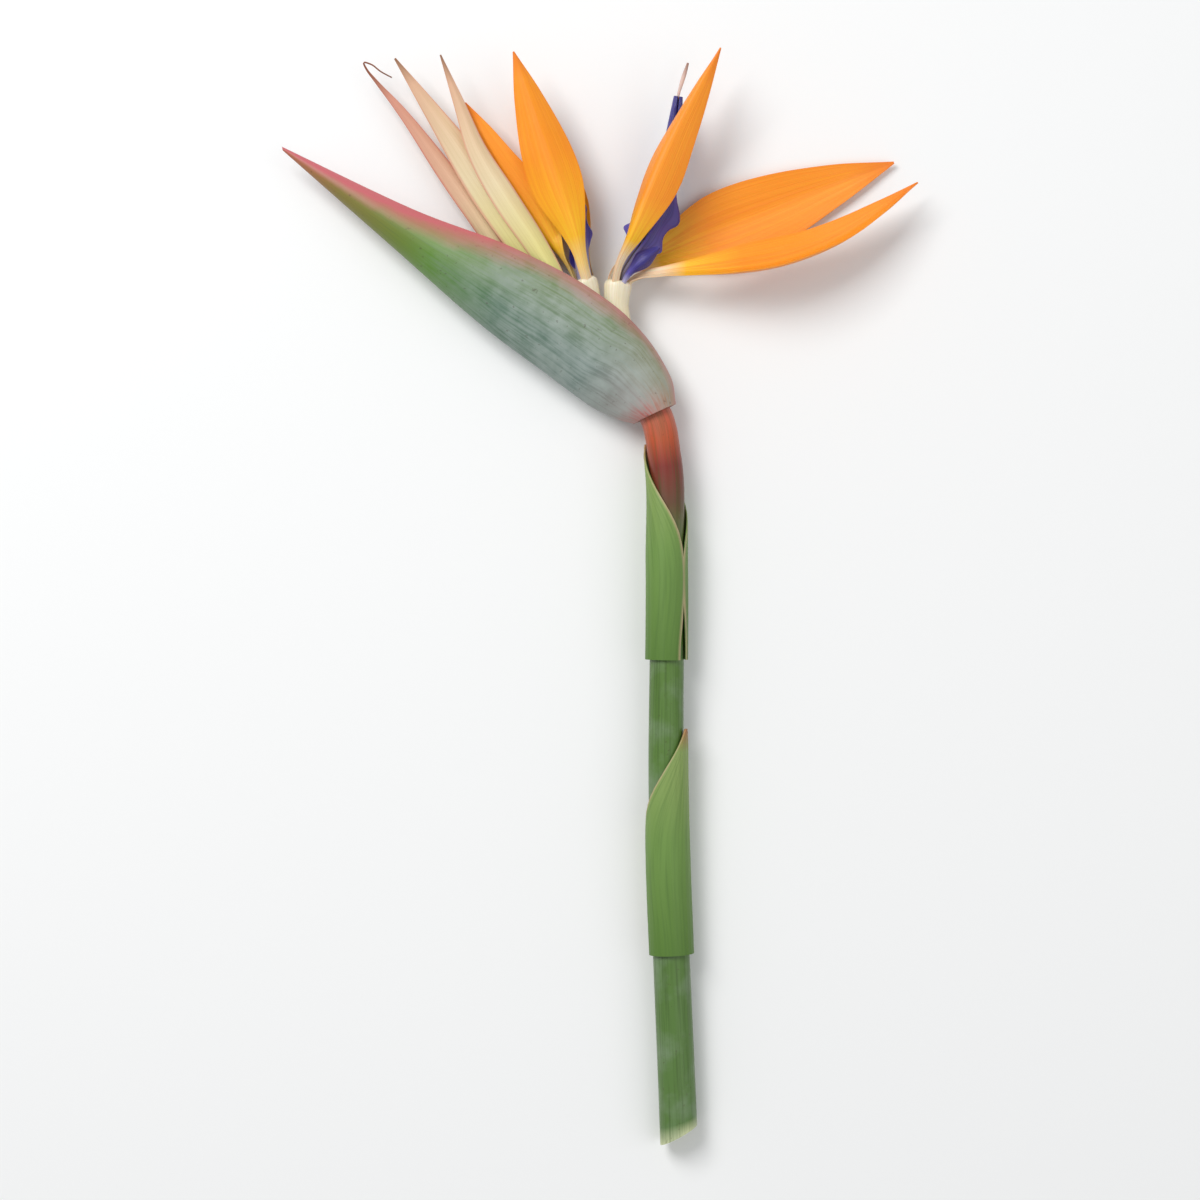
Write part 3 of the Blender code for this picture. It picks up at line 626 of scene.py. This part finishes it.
def pollen_skin(name):
    """Stamen: matt cream anther, uneven with pollen grains that are drawn coarser than they are."""
    made, tree, shader = new_material(name, 0.75, 0.3)
    colour = lay_over(tree, linear("#efe6c4"), linear("#cfc08a"), mottle(tree, 0.6), 0.0, 1.0)
    tree.links.new(colour, shader.inputs["Base Color"])
    return made


def orange_sepal(name, colours):
    """Floret 1's sepals: a cream claw, a short yellow foot and an orange blade."""
    stops = [
        (0.0, colours.cream),
        (0.12, colours.cream),
        (0.2, colours.yellow),
        (0.38, colours.orange),
        (0.85, colours.orange),
        (1.0, colours.orange_deep),
    ]
    return petal_tissue(name, stops, colours.orange_deep, 0.45, colours.orange_deep, 0.5)


def golden_sepal(name, colours):
    """Floret 2's sepals: golden for their lower half, then orange."""
    stops = [
        (0.0, colours.cream),
        (0.08, linear("#f4dc8a")),
        (0.2, colours.yellow),
        (0.36, linear("#fbb010")),
        (0.55, colours.orange),
        (0.88, colours.orange),
        (1.0, colours.orange_deep),
    ]
    return petal_tissue(name, stops, colours.orange_deep, 0.4, colours.orange_deep, 0.5)


def violet_petal(name, colours):
    """Arrow and nectary petal: deep violet blue with dark lines, and lavender at the foot."""
    stops = [
        (0.0, colours.lavender),
        (0.1, colours.lavender),
        (0.26, linear("#5f56b4")),
        (0.4, colours.violet),
        (1.0, linear("#3a3192")),
    ]
    return petal_tissue(name, stops, colours.violet_dark, 0.55, linear("#7d78c0"), 0.38)


def cream_ovary(name, colours):
    """Ovary: a fleshy cream column, greener at its foot."""
    stops = [(0.0, linear("#d8d39a")), (0.5, colours.cream), (1.0, linear("#f4ecd6"))]
    return petal_tissue(name, stops, linear("#d9c48e"), 0.4, linear("#e6d9b0"))


def pale_style(name, colours):
    """Style: a pale pink thread with a brown, slightly sticky tip."""
    stops = [(0.0, colours.style_pink), (0.93, colours.style_pink), (1.0, linear("#8a5b46"))]
    return petal_tissue(name, stops, linear("#cfa898"), 0.4, colours.style_pink, 0.55)


def closed_bud(name):
    """Bud: an unopened floret, cream at the foot and orange at the tip."""
    stops = [(0.0, linear("#e4e0a8")), (0.5, linear("#dccb6a")), (1.0, linear("#e8a030"))]
    return petal_tissue(name, stops, linear("#b9a040"), 0.4, linear("#d9b04c"))


def leaf_sheath(name, colours):
    """Sheath: a leaf base, green with darker fibres, a pale dry margin and a reddish tip."""
    stops = [
        (0.0, colours.stem_green),
        (0.5, colours.sheath_green),
        (0.9, linear("#8aa05a")),
        (1.0, linear("#a5663f")),
    ]
    return leafy_skin(name, stops, linear("#b9a57e"), 0.93, linear("#48692c"))


def membrane_bract(name, colours):
    """Inner bracts: papery, yellow-green at the foot and cream above, with pink edges and brown tips."""
    stops = [
        (0.0, linear("#c9cf78")),
        (0.3, linear("#e2d88c")),
        (0.55, colours.bract_cream),
        (0.9, linear("#dcae90")),
        (1.0, linear("#8a5a40")),
    ]
    return leafy_skin(name, stops, colours.bract_pink, 0.8, linear("#cfb680"), 0.6)


def pink_bract(name):
    """Outer bract: papery and pinkish, running out into a dry brown strand."""
    stops = [
        (0.0, linear("#dfe0a0")),
        (0.4, linear("#deb795")),
        (0.76, linear("#d4937e")),
        (0.86, linear("#8a5138")),
        (1.0, linear("#6e4430")),
    ]
    return leafy_skin(name, stops, linear("#cf7f70"), 0.7, linear("#c98f74"), 0.6)


# Operators


class FLOWER_OT_stem(bpy.types.Operator):
    """Make the stem: a circle with 16 shallow cosine ribs, carried along its curve, with a slanting cut."""

    bl_idname = "flower.stem"
    bl_label = "Stem"

    def execute(self, context):
        colours = context.scene.flower_colours
        sides = 48
        curve = even_curve(STEM_ROWS, 320)
        rings = round_rings(curve[:, :3], curve[:, 3], curve[:, 3], sides, lobes=16, lobe_depth=0.006)
        # The last ring leans, and the ones before it run straight to it
        turn = np.linspace(0, 2 * math.pi, sides, endpoint=False)
        rings[-1] += (0.5 * CUT_RADIUS * np.cos(turn))[:, None] * unit(curve[-1, :3] - curve[-2, :3])
        blend = np.linspace(0, 1, CUT_RINGS)[:-1, None, None]
        rings[-CUT_RINGS:-1] = rings[-CUT_RINGS] * (1 - blend) + rings[-1] * blend
        skin = shared("ribbed stem", lambda name: stem_skin(name, colours))
        add_tube("stem", rings, skin, "stem")
        return {"FINISHED"}


class FLOWER_OT_sheaths(bpy.types.Operator):
    """Make the sheaths: part rings round the stem, at its radius and a lift, whose half angle falls towards
    the tip. Cosine ribs stand on the outer skin, and the wall thins at the margins by the eighth power."""

    bl_idname = "flower.sheaths"
    bl_label = "Sheaths"

    def execute(self, context):
        sizes = context.scene.flower_sizes
        colours = context.scene.flower_colours
        skin = shared("leaf sheath", lambda name: leaf_sheath(name, colours))
        wall = sizes.sheath_wall / MM
        lift = sizes.sheath_lift / MM
        stem = even_curve(STEM_ROWS, 400)[::-1]
        t = np.linspace(0, 1, 100)
        a = np.linspace(-1, 1, 73)
        thin = (1 - 0.55 * a**8)[None, :, None]
        half_wrap = math.radians(SHEATH_HALF_WRAP) * read_off(*SHEATH_OUTLINE, t)
        for name, (base_y, tip_y, middle) in SHEATHS.items():
            y = base_y + (tip_y - base_y) * t
            centre = np.stack([np.interp(y, stem[:, 1], stem[:, i]) for i in range(3)], axis=1)
            radius = np.interp(y, stem[:, 1], stem[:, 3])
            face, side, _ = frames(centre, UP)
            turn = math.radians(middle) + a[None] * half_wrap[:, None]
            around = np.cos(turn)[..., None] * side[:, None] + np.sin(turn)[..., None] * face[:, None]
            rib = 0.06 * np.cos(26 * turn)[..., None]
            reach = (radius + lift)[:, None, None]
            outer = centre[:, None] + (reach + wall * thin + rib) * around
            inner = centre[:, None] + reach * around
            add_piece(name, *shell(outer, inner), skin, "sheath")
        return {"FINISHED"}


class FLOWER_OT_spathe(bpy.types.Operator):
    """Make the spathe: drop-shaped sections from the keel up to two parted margins. At an angle from the keel
    the width is the half width times its sine to the power 1.25, and the height goes as 1 less its cosine."""

    bl_idname = "flower.spathe"
    bl_label = "Spathe"

    def execute(self, context):
        colours = context.scene.flower_colours
        t = np.linspace(0, 1, 170)
        table = np.array(SPATHE_ROWS)
        keel = read_off(table[:, 0], table[:, 1:3], t)
        margin = read_off(table[:, 0], table[:, 3:5], t)
        half = read_off(table[:, 0], table[:, 5], t)
        gap = np.interp(t, MOUTH_STATIONS, MOUTH_HALF_GAPS)
        depth = np.linalg.norm(margin - keel, axis=1)
        up = (margin - keel) / depth[:, None]
        wall = np.minimum(context.scene.flower_sizes.spathe_wall / MM, 0.4 * np.minimum(half, depth / 2))

        def skin_at(inset, ribs):
            """The skin that lies that far inside the outer one, with ribs of that share of its width."""
            width = half - inset
            opening = np.arcsin(np.minimum(gap / width, 0.96) ** (1 / SPATHE_PINCH))
            turn = np.linspace(-1, 1, 91)[None] * (math.pi - opening)[:, None]
            lateral = width[:, None] * np.sign(turn) * np.abs(np.sin(turn)) ** SPATHE_PINCH
            lateral = lateral * (1 + ribs * np.cos(30 * turn) * np.sin(math.pi * t)[:, None])
            share = (1 - np.cos(turn)) / (1 + np.cos(opening))[:, None]
            height = inset[:, None] + (depth - 2 * inset)[:, None] * share
            flat = keel[:, None] + height[..., None] * up[:, None]
            return np.concatenate([flat, lateral[..., None]], axis=2)

        skin = shared("waxy spathe", lambda name: spathe_skin(name, colours))
        add_piece("spathe", *shell(skin_at(0 * t, 0.004), skin_at(wall, 0.0)), skin, "spathe")
        return {"FINISHED"}


class FLOWER_OT_florets(bpy.types.Operator):
    """Make both florets: ovary, sepals, arrow, nectary petal, style and stamens. The petals stand on a circle
    over the ovary's top, at their own angles from the floret's right towards the viewer."""

    bl_idname = "flower.florets"
    bl_label = "Florets"

    def execute(self, context):
        sizes = context.scene.flower_sizes
        colours = context.scene.flower_colours
        for floret, shape in FLORETS.items():
            self.ovary(floret, shape, colours)
            self.petals(floret, shape, sizes, colours)
            self.arrow(floret, shape, sizes, colours)
            for number in range(1, 6):
                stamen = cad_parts[f"{floret}_stamen_{number}"]
                stamen.data.materials.clear()
                stamen.data.materials.append(shared("dusty stamen", pollen_skin))
        return {"FINISHED"}

    def ovary(self, floret, shape, colours):
        """Round rings with three cosine lobes, and a collar that closes over the petals' feet."""
        last = np.array(shape["ovary"][-1])
        way = unit(np.array(shape["axis"]))
        collar = [(*(last[:3] + rise * way), *(last[3:] * share)) for rise, share in COLLAR]
        rows = even_curve([*shape["ovary"], *collar], 60)
        rings = round_rings(rows[:, :3], rows[:, 3], rows[:, 4], 48, lobes=3, lobe_depth=0.04)
        skin = shared("cream ovary", lambda name: cream_ovary(name, colours))
        add_tube(floret + "_ovary", rings, skin, "ovary")

    def petals(self, floret, shape, sizes, colours):
        """Keeled blades for the three sepals and the nectary petal, each from its own foot on the circle."""
        if floret == "floret_1":
            seed = 7
            sepal_skin = shared("orange sepal", lambda name: orange_sepal(name, colours))
        else:
            seed = 29
            sepal_skin = shared("golden sepal", lambda name: golden_sepal(name, colours))
        violet_skin = shared("violet petal", lambda name: violet_petal(name, colours))
        axis = unit(np.array(shape["axis"]))
        right = np.cross(axis, UP)
        ring_middle = np.array(shape["ovary"][-1][:3]) + sizes.root_lift / MM * axis

        def blade(angle, spine, facing, half_width, fold, thick, outline, **grid):
            out = math.cos(math.radians(angle)) * right + math.sin(math.radians(angle)) * UP
            foot = ring_middle + sizes.ring_radius / MM * out
            return shell(*blade_skins([foot, *spine], facing, half_width, fold, thick, -out, outline, **grid))

        thick = sizes.sepal_thick / MM
        for place, numbers in shape["sepals"].items():
            sepal = blade(*numbers, thick, SEPAL_OUTLINE, seed=seed + numbers[0])
            add_piece(f"{floret}_sepal_{place}", *sepal, sepal_skin, "sepal")
        nectary = blade(
            *shape["nectary"], NECTARY_THICK, NECTARY_OUTLINE, seed=seed, rows=60, columns=25, ripple=0.15
        )
        add_piece(floret + "_nectary_petal", *nectary, violet_skin, "blue_petal")

    def arrow(self, floret, shape, sizes, colours):
        """The two blue petals that make the arrow, and the style that comes out of its end."""
        violet_skin = shared("violet petal", lambda name: violet_petal(name, colours))
        for half, way in (("left", -1), ("right", 1)):
            add_tube(f"{floret}_arrow_{half}", self.arrow_rings(shape, way, sizes), violet_skin, "blue_petal")
        line = even_curve([*shape["arrow"], shape["style_tip"]], 120)
        radius = sizes.style_radius / MM * read_off(*STIGMA, np.linspace(0, 1, len(line)))
        skin = shared("pale style", lambda name: pale_style(name, colours))
        add_tube(floret + "_style", round_rings(line, radius, radius, 16), skin, "style")

    def arrow_rings(self, shape, way, sizes):
        """One petal of the arrow: half a tube whose outer side runs out into a wing, as a closed section of
        arc points and wing points. The wing's reach follows its shares along the line, and bends back by half
        of what it reaches past the tube."""
        rows = 170
        t = np.linspace(0, 1, rows)
        line = even_curve(shape["arrow"], rows)
        face, side, tangent = frames(line, shape["groove"])
        full_channel = sizes.arrow_channel / MM
        wall = sizes.arrow_wall / MM
        channel = full_channel * read_off(*CHANNEL, t)
        outer = channel + wall
        reach = outer + (shape["wing"] - full_channel - wall) * np.clip(read_off(*BARBS, t), 0, 1.05)
        down = np.radians(np.linspace(-80, 10, 9))
        inner = np.radians(np.linspace(84, -84, 9))
        lateral = [outer * math.cos(angle) for angle in down]
        lateral += [tube_share * outer + wing_share * reach for tube_share, wing_share, _ in WING_SECTION]
        lateral += [channel * math.cos(angle) for angle in inner]
        height = [outer * math.sin(angle) for angle in down]
        height += [share * outer for _, _, share in WING_SECTION]
        height += [channel * math.sin(angle) for angle in inner]
        lateral = np.maximum(np.stack(lateral, axis=1), HALF_SEAM)
        height = np.stack(height, axis=1)
        back = 0.5 * np.maximum(lateral - outer[:, None], 0) * np.sin(math.pi * t)[:, None]
        rings = (
            line[:, None]
            + way * lateral[..., None] * side[:, None]
            + height[..., None] * face[:, None]
            - back[..., None] * tangent[:, None]
        )
        return rings if way == 1 else rings[:, ::-1]


class FLOWER_OT_bracts(bpy.types.Operator):
    """Make the pale bracts in the mouth: thin keeled blades, the outer one with a curled strand at its end."""

    bl_idname = "flower.bracts"
    bl_label = "Bracts"

    def execute(self, context):
        colours = context.scene.flower_colours
        thick = context.scene.flower_sizes.bract_thick / MM
        for number, (name, (spine, facing, half_width, fold)) in enumerate(BRACTS.items()):
            if name == "bract_outer":
                outline = CURLED_OUTLINE
                skin = shared("pink bract", pink_bract)
            else:
                outline = BRACT_OUTLINE
                skin = shared("membrane bract", lambda made: membrane_bract(made, colours))
            skins = blade_skins(
                spine, facing, half_width, fold, thick, facing, outline,
                seed=40 + number, rows=180, columns=31, ripple=0.2,
            )
            add_piece(name, *shell(*skins), skin, "bract")
        return {"FINISHED"}


class FLOWER_OT_buds(bpy.types.Operator):
    """Make the unopened florets in the spathe: round spindles with three cosine lobes."""

    bl_idname = "flower.buds"
    bl_label = "Buds"

    def execute(self, context):
        skin = shared("closed bud", closed_bud)
        for name, rows in BUDS.items():
            curve = even_curve(rows, 90)
            rings = round_rings(curve[:, :3], curve[:, 3], curve[:, 3], 40, lobes=3, lobe_depth=0.05)
            add_tube(name, rings, skin, "bud")
        return {"FINISHED"}


class FLOWER_OT_stage(bpy.types.Operator):
    """Make the pale floor, the soft lights and the camera that looks straight down."""

    bl_idname = "flower.stage"
    bl_label = "Stage"

    def execute(self, context):
        scene = context.scene
        self.floor(scene)
        world = bpy.data.worlds.new("soft room")
        world.use_nodes = True
        background = world.node_tree.nodes["Background"]
        background.inputs["Color"].default_value = (0.95, 0.97, 1.0, 1)
        background.inputs["Strength"].default_value = 0.44
        scene.world = world
        for name, place, size, energy in LAMPS:
            lamp = bpy.data.lights.new(name, "AREA")
            lamp.size = size
            lamp.energy = energy
            holder = bpy.data.objects.new(name, lamp)
            holder.location = place
            towards = unit(-np.array(place))
            turn = math.atan2(towards[0], -towards[1]) + math.pi
            holder.rotation_euler = (math.acos(-towards[2]), 0, turn)
            scene.collection.objects.link(holder)
        lens = bpy.data.cameras.new("camera")
        lens.lens = 100
        lens.sensor_width = 36
        camera = bpy.data.objects.new("camera", lens)
        camera.location = (0, 0, CAMERA_HEIGHT)
        scene.collection.objects.link(camera)
        scene.camera = camera
        # The plain transform keeps the petals' orange from paling
        scene.view_settings.view_transform = "Standard"
        return {"FINISHED"}

    def floor(self, scene):
        """A matt white table top: pale, with hardly any gloss."""
        mesh = bpy.data.meshes.new("floor")
        corners = [(-1, -1), (1, -1), (1, 1), (-1, 1)]
        mesh.from_pydata([(x * FLOOR_REACH, y * FLOOR_REACH, 0) for x, y in corners], [], [(0, 1, 2, 3)])
        made, _, shader = new_material("matt white table", 0.8, 0.2)
        shader.inputs["Base Color"].default_value = (0.9, 0.9, 0.89, 1)
        mesh.materials.append(made)
        table = bpy.data.objects.new("floor", mesh)
        scene.collection.objects.link(table)


class FLOWER_PT_panel(bpy.types.Panel):
    """The flower's pieces, sizes and colours."""

    bl_label = "Bird of paradise flower"
    bl_space_type = "VIEW_3D"
    bl_region_type = "UI"
    bl_category = "Flower"

    def draw(self, context):
        for operator in OPERATORS:
            self.layout.operator(operator.bl_idname)
        for group in (context.scene.flower_sizes, context.scene.flower_colours):
            for key in group.__annotations__:
                self.layout.prop(group, key)


OPERATORS = (
    FLOWER_OT_stem,
    FLOWER_OT_sheaths,
    FLOWER_OT_spathe,
    FLOWER_OT_florets,
    FLOWER_OT_bracts,
    FLOWER_OT_buds,
    FLOWER_OT_stage,
)
CLASSES = (FlowerColours, FlowerSizes, *OPERATORS, FLOWER_PT_panel)


def register():
    for each in CLASSES:
        bpy.utils.register_class(each)
    bpy.types.Scene.flower_colours = bpy.props.PointerProperty(type=FlowerColours)
    bpy.types.Scene.flower_sizes = bpy.props.PointerProperty(type=FlowerSizes)


def unregister():
    del bpy.types.Scene.flower_sizes
    del bpy.types.Scene.flower_colours
    for each in reversed(CLASSES):
        bpy.utils.unregister_class(each)


def main():
    """Register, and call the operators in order."""
    register()
    bpy.ops.flower.stem()
    bpy.ops.flower.sheaths()
    bpy.ops.flower.spathe()
    bpy.ops.flower.florets()
    bpy.ops.flower.bracts()
    bpy.ops.flower.buds()
    bpy.ops.flower.stage()


if __name__ == "__main__":
    main()
